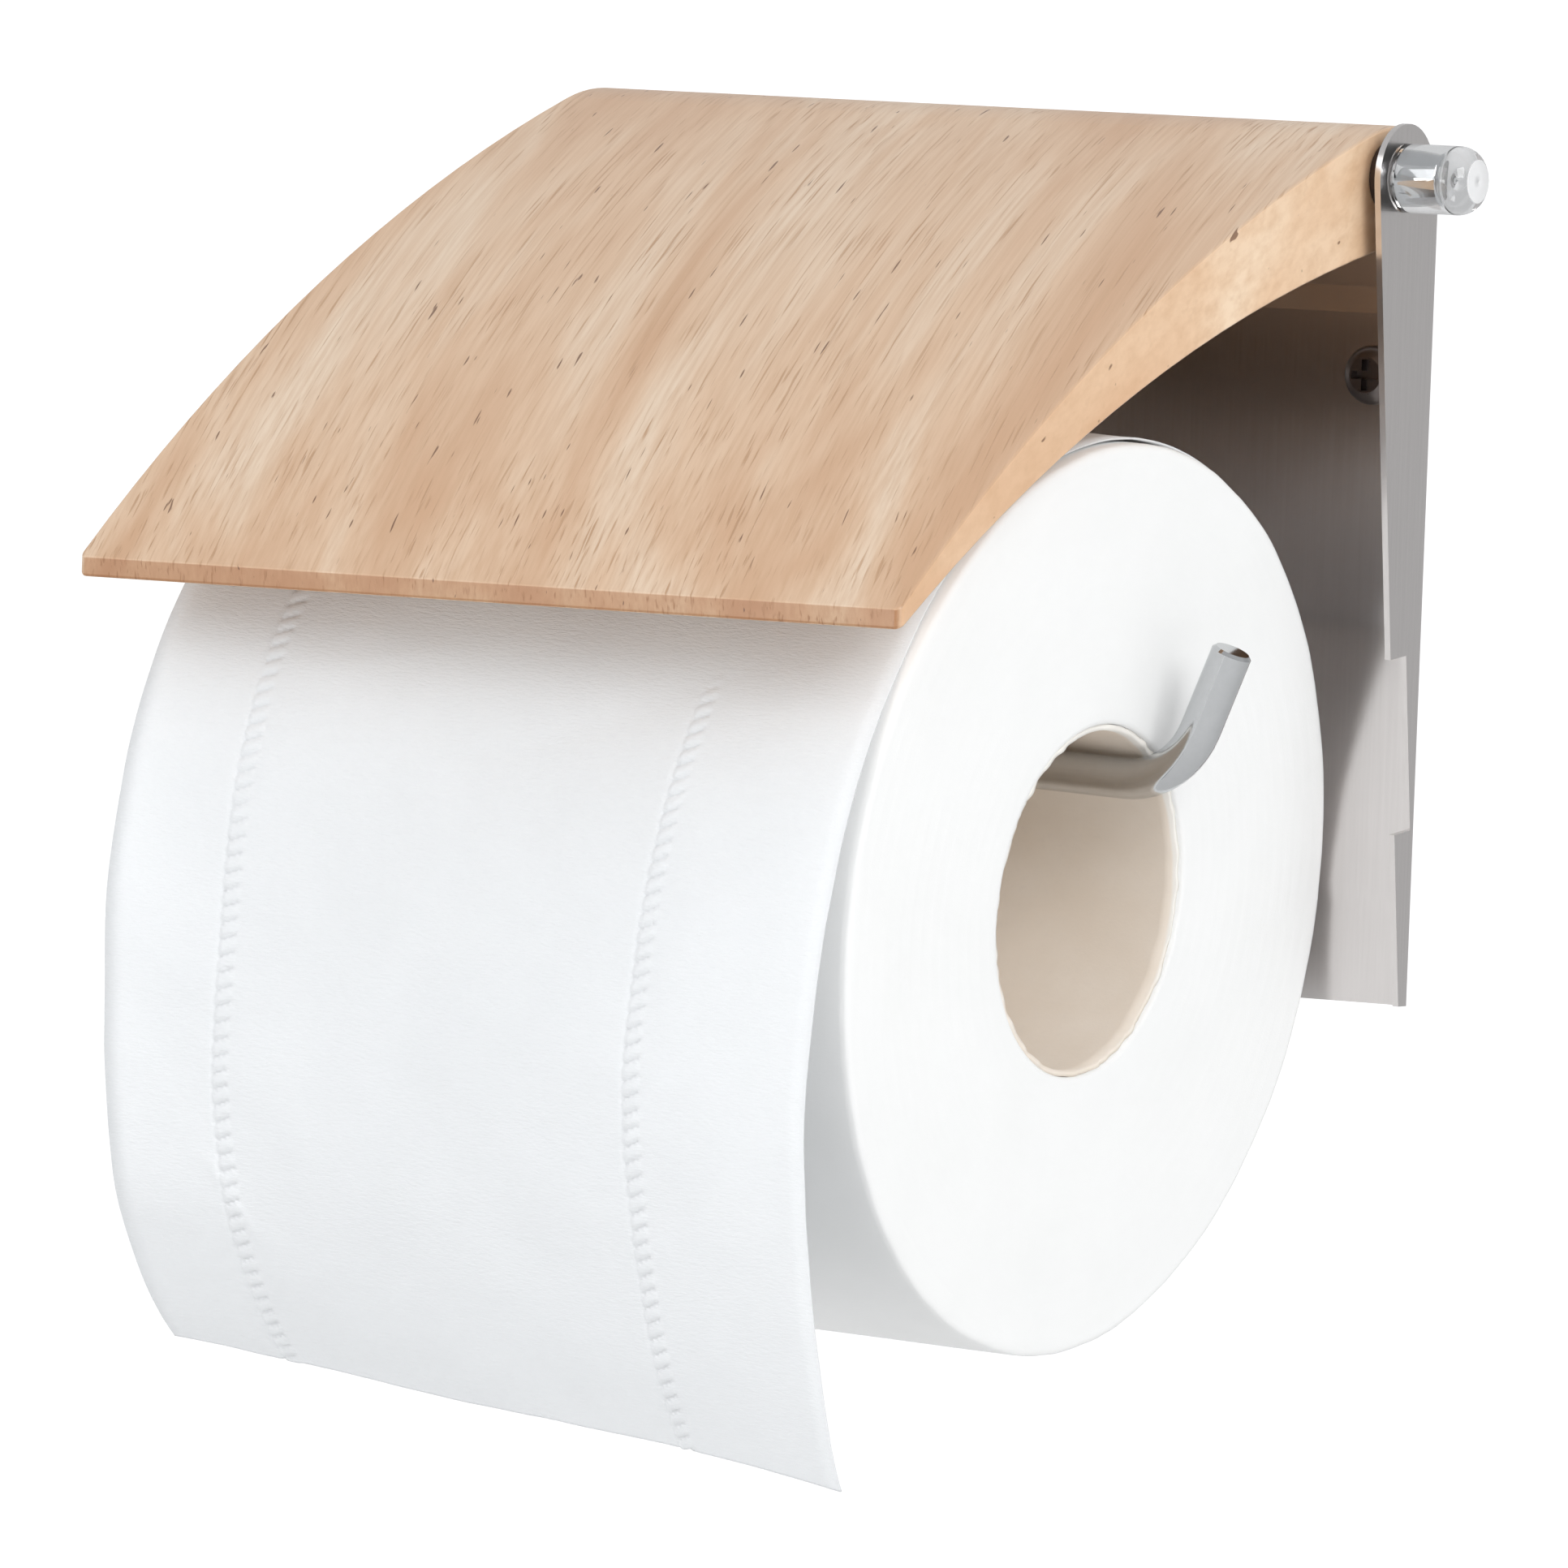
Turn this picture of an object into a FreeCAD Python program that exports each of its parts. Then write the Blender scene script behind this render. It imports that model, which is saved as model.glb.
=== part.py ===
import FreeCAD, Part
import math
import os
import Sketcher

# Wall-mounted holder for a toilet-tissue roll: a stainless back plate with two bent ears, a wooden
# lid hinged on a rod between the ears, and a wire arm that carries the roll.
# Frame: the wall is the plane Y = 0, the holder stands out towards -Y, +X runs along the arm to its
# free end, +Z is up. The origin is midway between the two wall screws, on the wall.

doc = FreeCAD.newDocument("roll_holder")

# ---- driving dimensions, millimetres and degrees ------------------------------------------------
SIZES = [
    # back plate
    ("plate_width", 121.0, "outside width over the two ears"),
    ("plate_sheet", 0.8, "thickness of the stainless sheet"),
    ("plate_top", 18.0, "top edge of the panel above the screws"),
    ("plate_drop", 76.5, "bottom edge of the plate below the screws"),
    ("strip_step", 0.5, "how far the panel stands off the wall between its two bearing strips"),
    ("step_run", 3.2, "height over which the sheet steps back to a strip"),
    ("top_strip", 7.3, "height of the top bearing strip"),
    ("bottom_strip", 14.6, "height of the bottom bearing strip"),
    ("ear_round", 6.6, "radius of the ear's top, about the hinge"),
    ("ear_crop", 4.1, "top of the left ear, cut straight, above the hinge"),
    ("crop_slope", 18.0, "rise of that cut towards the wall"),
    ("ear_taper", 7.0, "lean of the ear's front edge from upright"),
    ("notch_depth", 3.8, "depth of the notch in the ear's front edge"),
    ("notch_over", 5.3, "notch above the arm's forward leg"),
    ("notch_under", 0.7, "notch below the end of the arm's seat leg"),
    ("bend_radius", 1.1, "outside radius of the bend between panel and ear"),
    ("strip_inset", 1.0, "how far each bearing strip stops short of the bends"),
    # wall screws
    ("screw_spacing", 105.0, "between the centres of the two wall screws"),
    ("screw_hole", 4.4, "screw hole in the panel"),
    ("screw_shank", 4.0, "diameter of the plain shank, and over the thread"),
    ("shank_length", 5.0, "from the head to the thread"),
    ("screw_neck", 4.2, "diameter of the tapered neck where it meets the head"),
    ("neck_length", 1.0, "length of the neck"),
    ("screw_root", 2.8, "diameter at the foot of the thread"),
    ("screw_pitch", 1.4, "thread pitch"),
    ("flank_start", 0.1, "foot of a thread ridge, as a part of the pitch"),
    ("flank_top", 0.55, "top of the ridge"),
    ("flank_end", 0.95, "far foot of the ridge"),
    ("screw_length", 13.0, "screw below its head"),
    ("screw_point", 2.6, "length of the point"),
    ("screw_head", 7.2, "diameter of the pan head"),
    ("head_height", 2.2, "height of the pan head"),
    ("head_crown", 4.4, "diameter of the flat on the head"),
    ("head_rim", 0.8, "height of the rim of the head"),
    ("recess_width", 1.0, "width of the cross recess"),
    ("recess_span", 3.8, "length of each arm of the cross, tip to tip"),
    ("recess_depth", 1.3, "depth of the cross recess"),
    # hinge
    ("hinge_wall", 9.0, "hinge axis in front of the wall"),
    ("hinge_rise", 24.3, "hinge axis above the screws"),
    ("rod_size", 6.0, "diameter of the hinge rod"),
    ("rod_chamfer", 0.4, "chamfer on the free end of the rod"),
    ("rod_gap", 0.08, "radial running clearance of the rod in the ears, the lid and the washers"),
    ("rod_stub", 6.0, "how far the rod stands out of the right ear"),
    ("rod_head", 7.0, "diameter of the rod's head, outside the left ear"),
    ("rod_head_height", 0.8, "height of that head"),
    ("rod_head_bevel", 0.3, "chamfer on the head"),
    ("washer_size", 8.4, "diameter of the spacer washers"),
    ("washer_sheet", 2.0, "thickness of the spacer washers"),
    ("side_gap", 0.1, "free play on each face of a washer, and of the cap and the head against their ears"),
    ("cap_size", 8.4, "diameter of the rod cap"),
    ("cap_length", 9.8, "length of the rod cap"),
    ("cap_shoulder", 7.2, "straight part of the cap"),
    ("cap_face", 5.0, "diameter of the flat end of the cap"),
    ("cap_dome", 3.0, "radius of the rounded shoulder of the cap"),
    # lid
    ("lid_reach", 118.5, "front edge of the lid in front of the wall"),
    ("lid_fall", 50.4, "front edge of the lid below the hinge"),
    ("lid_top_radius", 328.0, "curve of the lid's top"),
    ("lid_under_radius", 310.0, "curve of the lid's underside"),
    ("lid_crest", 6.2, "top of the lid above the hinge"),
    ("lid_rear", 2.7, "rear face of the lid in front of the wall"),
    ("lid_heel", 2.5, "rounding between the rear face and the top"),
    ("lid_shoulder", 28.0, "curve of the top where it levels off towards the rear"),
    ("lid_root", 7.6, "lower rear edge of the lid below the hinge"),
    ("lid_lip", 2.7, "height of the lid's front edge"),
    ("lid_ease", 0.35, "rounding of the lid's long edges"),
    ("lid_corner", 1.0, "rounding of the lid's front corners"),
    # roll
    ("roll_size", 110.0, "diameter of the full roll"),
    ("roll_length", 100.0, "length of the roll"),
    ("roll_shift", -1.5, "middle of the roll from the middle of the plate"),
    ("roll_gap", 1.0, "between the roll and the panel behind it"),
    ("core_bore", 41.0, "inside diameter of the cardboard core"),
    ("core_wall", 0.8, "thickness of the cardboard core"),
    ("core_short", 0.6, "how far the core stops short of each end of the roll"),
    ("droop", 2.2, "droop of the arm and the roll towards the free end"),
    # loose outer sheet
    ("tail_sheet", 0.5, "thickness of the loose sheet"),
    ("tail_gap", 0.3, "between the loose sheet and the roll"),
    ("tail_back", 55.0, "how far the loose turn starts behind the top of the roll"),
    ("tail_off", 36.0, "angle above level at which the sheet leaves the roll in front"),
    ("tail_upper", 86.0, "radius of the sheet where it comes away from the roll"),
    ("tail_lower", 72.0, "radius of the sheet where it curls back under the roll"),
    ("tail_turn", 42.0, "angle that the lower curl turns through"),
    ("lid_gap", 0.3, "between the resting lid and the loose sheet"),
    # arm
    ("wire", 5.0, "diameter of the arm's wire"),
    ("arm_gap", 0.4, "between the wire and the bore of the core"),
    ("arm_lean", 36.0, "where the wire bears in the core, from its top towards the wall"),
    ("arm_seat", 15.5, "length of the seat leg in the notch"),
    ("arm_past", 4.9, "from the end of the roll to the corner of the arm's last bend"),
    ("tip_length", 17.8, "from that corner to the end of the wire"),
    ("tip_lean", 22.5, "lean of the upturned end from upright"),
    ("seat_bend", 6.0, "centreline radius of the bend above the seat leg"),
    ("elbow_bend", 9.0, "centreline radius of the bend from the forward leg to the run"),
    ("tip_bend", 10.5, "centreline radius of the bend at the upturned end"),
    ("tip_chamfer", 0.4, "chamfer on the end of the wire"),
    ("weld_size", 1.5, "radius of a weld bead"),
    ("weld_length", 9.0, "length of a weld bead"),
    ("weld_start", 1.5, "from the end of the seat leg to the bead"),
    ("weld_out", 0.7, "from the face of the ear to the middle of the bead"),
]

# ---- places worked out from the driving dimensions ----------------------------------------------
PLACES = [
    ("half_outside", "sizes.plate_width / 2"),
    ("half_inside", "sizes.plate_width / 2 - sizes.plate_sheet"),
    ("panel_back", "-sizes.strip_step"),
    ("panel_front", "-sizes.strip_step - sizes.plate_sheet"),
    ("rod_radius", "sizes.rod_size / 2"),
    ("rod_bore", "sizes.rod_size / 2 + sizes.rod_gap"),
    ("lid_half", "half_inside - sizes.washer_sheet - 2 * sizes.side_gap"),
    # the ear's front edge touches its round top here, and its rear slope touches it there
    ("ear_front_y", "-sizes.hinge_wall - sizes.ear_round * cos(sizes.ear_taper)"),
    ("ear_front_z", "sizes.hinge_rise - sizes.ear_round * sin(sizes.ear_taper)"),
    ("slope_out", "sizes.hinge_wall + panel_back"),
    ("slope_reach", "sqrt(slope_out^2 + (sizes.hinge_rise - sizes.plate_top)^2)"),
    ("slope_run", "sqrt(slope_reach^2 - sizes.ear_round^2)"),
    ("slope_rise", "sizes.hinge_rise - sizes.plate_top"),
    ("ear_rear_y", "panel_back - slope_run * (slope_out * slope_run - slope_rise * sizes.ear_round)"
                   " / slope_reach^2"),
    ("ear_rear_z", "sizes.plate_top + slope_run * (slope_rise * slope_run + slope_out * sizes.ear_round)"
                   " / slope_reach^2"),
    # curve of the lid's underside, through its front and rear lower edges
    ("under_front_z", "sizes.hinge_rise - sizes.lid_fall - sizes.lid_lip"),
    ("under_rear_y", "-sizes.lid_rear"),
    ("under_rear_z", "sizes.hinge_rise - sizes.lid_root"),
    ("under_chord", "sqrt((under_rear_y + sizes.lid_reach)^2 + (under_rear_z - under_front_z)^2)"),
    ("under_depth", "sqrt(sizes.lid_under_radius^2 - (under_chord / 2)^2)"),
    ("under_y", "(under_rear_y - sizes.lid_reach) / 2"
                " + under_depth * (under_rear_z - under_front_z) / under_chord"),
    ("under_z", "(under_rear_z + under_front_z) / 2"
                " - under_depth * (under_rear_y + sizes.lid_reach) / under_chord"),
    # the top's two arcs meet in line at the shoulder, and the rear one ends level at the heel
    ("crest_z", "sizes.hinge_rise + sizes.lid_crest"),
    ("top_front_z", "sizes.hinge_rise - sizes.lid_fall"),
    ("shoulder_y", "under_rear_y - sizes.lid_heel"),
    ("shoulder_z", "crest_z - sizes.lid_shoulder"),
    ("top_inner", "sizes.lid_top_radius - sizes.lid_shoulder"),
    ("top_across", "sizes.lid_reach + shoulder_y"),
    ("top_rise", "shoulder_z - top_front_z"),
    ("top_base", "sqrt(top_across^2 + top_rise^2)"),
    ("top_along", "(sizes.lid_top_radius^2 - top_inner^2 + top_base^2) / (2 * top_base)"),
    ("top_deep", "sqrt(sizes.lid_top_radius^2 - top_along^2)"),
    ("top_y", "-sizes.lid_reach + (top_along * top_across + top_deep * top_rise) / top_base"),
    ("top_z", "top_front_z + (top_along * top_rise - top_deep * top_across) / top_base"),
    ("top_end_y", "shoulder_y + (shoulder_y - top_y) * sizes.lid_shoulder / top_inner"),
    ("top_end_z", "shoulder_z + (shoulder_z - top_z) * sizes.lid_shoulder / top_inner"),
    # the roll stands just clear of the panel, and the lid rests on its high end
    ("roll_radius", "sizes.roll_size / 2"),
    ("roll_y", "panel_front - sizes.roll_gap - roll_radius"),
    ("rest_radius", "roll_radius + sizes.tail_gap + sizes.tail_sheet + sizes.lid_gap"),
    ("roll_high_z", "under_z + sqrt((sizes.lid_under_radius - rest_radius)^2 - (roll_y - under_y)^2)"),
    ("roll_z", "roll_high_z - sizes.roll_length / 2 * sin(sizes.droop)"),
    # the wire bears in the core, and its forward leg is square to the seat leg in the notch
    ("arm_offset", "sizes.core_bore / 2 - sizes.wire / 2 - sizes.arm_gap"),
    ("arm_back", "arm_offset * sin(sizes.arm_lean)"),
    ("arm_over", "arm_offset * cos(sizes.arm_lean)"),
    ("arm_y", "roll_y + arm_back"),
    ("arm_side", "-sizes.plate_width / 2 + sizes.plate_sheet / 2"),
    ("elbow_z", "roll_z + arm_over / cos(sizes.droop) - (arm_side - sizes.roll_shift) * tan(sizes.droop)"),
    ("seat_in", "(ear_front_y - arm_y) * cos(sizes.ear_taper) + (ear_front_z - elbow_z)"
                " * sin(sizes.ear_taper) + sizes.notch_depth - sizes.wire / 2"),
    ("seat_top_y", "arm_y + seat_in * cos(sizes.ear_taper)"),
    ("seat_top_z", "elbow_z + seat_in * sin(sizes.ear_taper)"),
    ("notch_top", "(seat_top_y - ear_front_y) * -sin(sizes.ear_taper)"
                  " + (seat_top_z - ear_front_z) * cos(sizes.ear_taper) + sizes.notch_over"),
    ("notch_bottom", "notch_top - sizes.notch_over - sizes.arm_seat - sizes.notch_under"),
    ("blank_front", "-sizes.hinge_wall - sizes.ear_round - 1"),
    ("blank_top", "sizes.hinge_rise + sizes.ear_round + 1"),
    ("foot_y", "ear_front_y + (ear_front_z + sizes.plate_drop) * tan(sizes.ear_taper)"),
]

sizes = doc.addObject("Spreadsheet::Sheet", "sizes")
for row, (alias, value, note) in enumerate(SIZES, start=1):
    sizes.set("A%d" % row, str(value))
    sizes.setAlias("A%d" % row, alias)
    sizes.set("B%d" % row, note)

places = doc.addObject("Spreadsheet::Sheet", "places")
for row, (alias, formula) in enumerate(PLACES, start=1):
    places.set("A%d" % row, "=" + formula)
    places.setAlias("A%d" % row, alias)
doc.recompute()


# ---- helpers ------------------------------------------------------------------------------------
def new_body(label):
    body = doc.addObject("PartDesign::Body", label)
    body.Label = label
    return body


def new_sketch(body, name, role):
    """An empty sketch on one of the body's own origin planes."""
    plane = [item for item in body.Origin.OriginFeatures if item.Role == role][0]
    sketch = body.newObject("Sketcher::SketchObject", name)
    sketch.AttachmentSupport = (plane, "")
    sketch.MapMode = "FlatFace"
    return sketch


def bind(sketch, kind, *arguments):
    """Add one dimension to the sketch, its last argument a formula that stays bound to it."""
    formula = arguments[-1]
    value = float(sketch.evalExpression(formula))
    index = sketch.addConstraint(Sketcher.Constraint(kind, *arguments[:-1], value))
    sketch.setExpression("Constraints[%d]" % index, formula)


def outline(sketch, corners, arcs=None):
    """A closed outline through the corners, each a pair of formulas. An edge listed in arcs is an
    arc of that radius; a radius written with a leading minus turns the other way."""
    arcs = arcs or {}
    points = []
    for across, up in corners:
        points.append(FreeCAD.Vector(float(sketch.evalExpression(across)),
                                     float(sketch.evalExpression(up)), 0))
    starts = []
    ends = []
    for number, start in enumerate(points):
        end = points[(number + 1) % len(points)]
        if number not in arcs:
            geometry = sketch.addGeometry(Part.LineSegment(start, end), False)
            starts.append((geometry, 1))
            ends.append((geometry, 2))
            continue
        formula = arcs[number]
        turns_right = formula.startswith("-")
        formula = formula.lstrip("-")
        radius = float(sketch.evalExpression(formula))
        chord = end - start
        square = FreeCAD.Vector(-chord.y, chord.x, 0).normalize()
        depth = math.sqrt(max(radius ** 2 - (chord.Length / 2) ** 2, 0))
        centre = (start + end) * 0.5 + square * (-depth if turns_right else depth)
        first, last = (end, start) if turns_right else (start, end)
        angles = [math.atan2(p.y - centre.y, p.x - centre.x) for p in (first, last)]
        circle = Part.Circle(centre, FreeCAD.Vector(0, 0, 1), radius)
        geometry = sketch.addGeometry(Part.ArcOfCircle(circle, *angles), False)
        starts.append((geometry, 2 if turns_right else 1))
        ends.append((geometry, 1 if turns_right else 2))
        bind(sketch, "Radius", geometry, formula)
    for number, (across, up) in enumerate(corners):
        sketch.addConstraint(Sketcher.Constraint("Coincident", *ends[number - 1], *starts[number]))
        bind(sketch, "DistanceX", -1, 1, *starts[number], across)
        bind(sketch, "DistanceY", -1, 1, *starts[number], up)


def circle(sketch, across, up, radius):
    centre = FreeCAD.Vector(float(sketch.evalExpression(across)), float(sketch.evalExpression(up)), 0)
    size = float(sketch.evalExpression(radius))
    geometry = sketch.addGeometry(Part.Circle(centre, FreeCAD.Vector(0, 0, 1), size), False)
    bind(sketch, "DistanceX", -1, 1, geometry, 3, across)
    bind(sketch, "DistanceY", -1, 1, geometry, 3, up)
    bind(sketch, "Radius", geometry, radius)


def pad(body, sketch, name, length):
    feature = body.newObject("PartDesign::Pad", name)
    feature.Profile = sketch
    feature.SideType = "Symmetric"
    feature.setExpression("Length", length)
    doc.recompute()
    return feature


def drill(body, sketch, name):
    """Cut the sketch through everything, both ways from its plane."""
    before = body.Shape.Volume
    feature = body.newObject("PartDesign::Pocket", name)
    feature.Profile = sketch
    feature.SideType = "Symmetric"
    feature.Type = "ThroughAll"
    doc.recompute()
    if body.Shape.Volume >= before:
        raise RuntimeError(name + " cuts nothing")
    return feature


def ease(body, name, kind, edges, size):
    """Fillet or chamfer the named edges of the body's last feature."""
    base = body.Tip
    feature = body.newObject("PartDesign::" + kind, name)
    feature.Base = (base, edges)
    feature.setExpression("Radius" if kind == "Fillet" else "Size", size)
    doc.recompute()
    return feature


def edges_where(shape, test):
    """Names of the edges whose every point, tried at both ends and the middle, passes the test."""
    names = []
    for number, edge in enumerate(shape.Edges, start=1):
        low, high = edge.ParameterRange
        if all(test(edge.valueAt(low + (high - low) * part)) for part in (0, 0.5, 1)):
            names.append("Edge%d" % number)
    return names


def turned(label, corners, arcs=None, axis="H_Axis"):
    """A lathe-turned piece: the outline in the XY plane, turned once about X or Y."""
    body = new_body(label)
    sketch = new_sketch(body, label + "_profile", "XY_Plane")
    outline(sketch, corners, arcs)
    feature = body.newObject("PartDesign::Revolution", label + "_turning")
    feature.Profile = sketch
    feature.ReferenceAxis = (sketch, [axis])
    feature.Angle = 360
    doc.recompute()
    return body


def put(body, across, out, up, axis=None, angle="0"):
    """Place the body by formulas, turned about an axis by an angle in degrees."""
    if axis is not None:
        body.Placement = FreeCAD.Placement(FreeCAD.Vector(), FreeCAD.Rotation(axis, 1))
        body.setExpression("Placement.Rotation.Angle", angle)
    body.setExpression("Placement.Base.x", across)
    body.setExpression("Placement.Base.y", out)
    body.setExpression("Placement.Base.z", up)


# ---- back plate ---------------------------------------------------------------------------------
# Back of the panel between the bends, from its bottom edge up: it bears on the wall along a strip at
# the bottom and a strip at the top, and stands off the wall between them.
PLATE_BACK = [
    ("0", "-sizes.plate_drop"),
    ("0", "-sizes.plate_drop + sizes.bottom_strip - sizes.step_run"),
    ("places.panel_back", "-sizes.plate_drop + sizes.bottom_strip"),
    ("places.panel_back", "sizes.plate_top - sizes.top_strip - sizes.step_run"),
    ("0", "sizes.plate_top - sizes.top_strip"),
    ("0", "sizes.plate_top"),
]


def rectangle(sketch, left, low, right, high):
    outline(sketch, [(left, low), (right, low), (right, high), (left, high)])


def make_back_plate():
    body = new_body("back_plate")
    # the sheet bent into a channel, seen from above
    outer = "sizes.bend_radius"
    inner = "(sizes.bend_radius - sizes.plate_sheet)"
    right_side = [
        ("places.half_outside - sizes.bend_radius", "places.panel_back"),
        ("places.half_outside", "places.panel_back - sizes.bend_radius"),
        ("places.half_outside", "places.blank_front"),
        ("places.half_inside", "places.blank_front"),
        ("places.half_inside", "places.panel_back - sizes.bend_radius"),
        ("places.half_outside - sizes.bend_radius", "places.panel_front"),
    ]
    left_side = [("-(%s)" % across, out) for across, out in reversed(right_side)]
    channel = new_sketch(body, "channel_section", "XY_Plane")
    outline(channel, right_side + left_side, {0: "-" + outer, 4: inner, 6: inner, 10: "-" + outer})
    channel.setExpression("AttachmentOffset.Base.z", "(places.blank_top - sizes.plate_drop) / 2")
    pad(body, channel, "channel", "places.blank_top + sizes.plate_drop")

    # everything outside the ear's outline is cut away
    along = "places.ear_front_y - (%s) * sin(sizes.ear_taper) + (%s) * cos(sizes.ear_taper)"
    upward = "places.ear_front_z + (%s) * cos(sizes.ear_taper) + (%s) * sin(sizes.ear_taper)"
    notch = [("places.notch_top", "0"), ("places.notch_top", "sizes.notch_depth"),
             ("places.notch_bottom", "sizes.notch_depth"), ("places.notch_bottom", "0")]
    corners = [("places.panel_back", "-sizes.plate_drop"), ("places.panel_back", "sizes.plate_top"),
               ("places.ear_rear_y", "places.ear_rear_z"), ("places.ear_front_y", "places.ear_front_z")]
    corners.extend((along % pair, upward % pair) for pair in notch)
    corners.append(("places.foot_y", "-sizes.plate_drop"))
    waste = new_sketch(body, "ear_outline", "YZ_Plane")
    outline(waste, corners, {2: "sizes.ear_round"})
    rectangle(waste, "places.blank_front - 1", "-sizes.plate_drop - 1", "1", "places.blank_top + 1")
    drill(body, waste, "ears")
    above = new_sketch(body, "panel_top_profile", "XZ_Plane")
    rectangle(above, "-places.half_inside", "sizes.plate_top", "places.half_inside", "places.blank_top + 1")
    drill(body, above, "panel_top")

    # the two strips are pressed back to the wall between the bends
    reach = "(places.half_outside - sizes.bend_radius - sizes.strip_inset)"
    flats = new_sketch(body, "strip_profile", "XZ_Plane")
    rectangle(flats, "-" + reach, "sizes.plate_top - sizes.top_strip - sizes.step_run", reach,
              "sizes.plate_top + 1")
    rectangle(flats, "-" + reach, "-sizes.plate_drop - 1", reach, "-sizes.plate_drop + sizes.bottom_strip")
    drill(body, flats, "strip_blanks")
    panel = new_sketch(body, "panel_section", "YZ_Plane")
    outline(panel, PLATE_BACK + [("%s - sizes.plate_sheet" % out, up) for out, up in reversed(PLATE_BACK)])
    pad(body, panel, "pressed_panel", "2 * " + reach)

    # the left ear is cut straight above the rod, lower than the lid
    back = "-sizes.hinge_wall - (%s) * sin(sizes.crop_slope) + (%s) * cos(sizes.crop_slope)"
    rise = "sizes.hinge_rise + (%s) * cos(sizes.crop_slope) + (%s) * sin(sizes.crop_slope)"
    reach_out = "2 * sizes.ear_round"
    crop = [("sizes.ear_crop", "-" + reach_out), ("sizes.ear_crop", reach_out),
            (reach_out, reach_out), (reach_out, "-" + reach_out)]
    above_left = new_sketch(body, "left_ear_crop", "YZ_Plane")
    outline(above_left, [(back % pair, rise % pair) for pair in crop])
    uncropped = body.Shape.Volume
    cropped = body.newObject("PartDesign::Pocket", "left_ear_top")
    cropped.Profile = above_left
    cropped.Type = "ThroughAll"
    doc.recompute()
    if body.Shape.Volume >= uncropped:
        raise RuntimeError("the left ear is not cropped")

    holes = new_sketch(body, "rod_hole_profile", "YZ_Plane")
    circle(holes, "-sizes.hinge_wall", "sizes.hinge_rise", "places.rod_bore")
    drill(body, holes, "rod_holes")
    fixings = new_sketch(body, "screw_hole_profile", "XZ_Plane")
    circle(fixings, "sizes.screw_spacing / 2", "0", "sizes.screw_hole / 2")
    circle(fixings, "-sizes.screw_spacing / 2", "0", "sizes.screw_hole / 2")
    drill(body, fixings, "screw_holes")
    return body


# ---- lid ----------------------------------------------------------------------------------------
def make_lid():
    body = new_body("lid")
    section = new_sketch(body, "lid_section", "YZ_Plane")
    corners = [
        ("-sizes.lid_reach", "places.under_front_z"),
        ("places.under_rear_y", "places.under_rear_z"),
        ("places.under_rear_y", "places.crest_z - sizes.lid_heel"),
        ("places.shoulder_y", "places.crest_z"),
        ("places.top_end_y", "places.top_end_z"),
        ("-sizes.lid_reach", "places.top_front_z"),
    ]
    arcs = {0: "-sizes.lid_under_radius", 2: "sizes.lid_heel", 3: "sizes.lid_shoulder",
            4: "sizes.lid_top_radius"}
    outline(section, corners, arcs)
    pad(body, section, "board", "2 * places.lid_half")
    bore = new_sketch(body, "lid_bore_profile", "YZ_Plane")
    circle(bore, "-sizes.hinge_wall", "sizes.hinge_rise", "places.rod_bore")
    drill(body, bore, "lid_bore")

    front = -float(sizes.lid_reach)
    half = float(places.lid_half)
    low = float(places.under_front_z)
    corner = edges_where(body.Tip.Shape, lambda p: abs(p.y - front) < 1e-6 and abs(abs(p.x) - half) < 1e-6)
    ease(body, "front_corners", "Fillet", corner, "sizes.lid_corner")
    bore_reach = float(places.rod_bore) + 1e-3
    axis = FreeCAD.Vector(0, -float(sizes.hinge_wall), float(sizes.hinge_rise))
    rear = float(places.under_rear_y)

    def is_rim(p):
        away = math.hypot(p.y - axis.y, p.z - axis.z)
        on_side = abs(abs(p.x) - half) < 1e-6
        return on_side and away > bore_reach

    rims = edges_where(body.Tip.Shape, is_rim)
    long_edge = edges_where(body.Tip.Shape, lambda p: abs(p.y - front) < 1e-6 and p.z > low + 0.1)
    rear_edge = edges_where(body.Tip.Shape, lambda p: abs(p.y - rear) < 1e-6
                            and abs(p.z - float(places.under_rear_z)) < 1e-6)
    ease(body, "eased_edges", "Fillet", sorted(set(rims + long_edge + rear_edge)), "sizes.lid_ease")
    return body


# ---- hinge rod, cap and washers -----------------------------------------------------------------
def make_hinge():
    end = "(places.half_outside + sizes.rod_stub)"
    seat = "(places.half_outside + sizes.side_gap)"
    far = "(places.half_outside + sizes.side_gap + sizes.rod_head_height)"
    radius = "places.rod_radius"
    head = "sizes.rod_head / 2"
    bevel = "sizes.rod_chamfer"
    rod = turned("hinge_rod", [
        ("-" + far, "0"), (end, "0"), (end, radius + " - " + bevel), (end + " - " + bevel, radius),
        ("-" + seat, radius), ("-" + seat, head), ("-" + far + " + sizes.rod_head_bevel", head),
        ("-" + far, head + " - sizes.rod_head_bevel")])
    put(rod, "0", "-sizes.hinge_wall", "sizes.hinge_rise")

    bore = "sizes.rod_stub - sizes.side_gap"
    cap = turned("rod_cap", [
        ("0", radius), (bore, radius), (bore, "0"), ("sizes.cap_length", "0"),
        ("sizes.cap_length", "sizes.cap_face / 2"), ("sizes.cap_shoulder", "sizes.cap_size / 2"),
        ("0", "sizes.cap_size / 2")], {4: "sizes.cap_dome"})
    put(cap, seat, "-sizes.hinge_wall", "sizes.hinge_rise")
    for side, sign in (("right", ""), ("left", "-")):
        washer = turned("lid_washer_" + side, [
            ("0", "places.rod_bore"), ("sizes.washer_sheet", "places.rod_bore"),
            ("sizes.washer_sheet", "sizes.washer_size / 2"), ("0", "sizes.washer_size / 2")])
        put(washer, sign + "(places.lid_half + sizes.side_gap)", "-sizes.hinge_wall", "sizes.hinge_rise",
            FreeCAD.Vector(0, 0, 1), "0" if side == "right" else "180")


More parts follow.
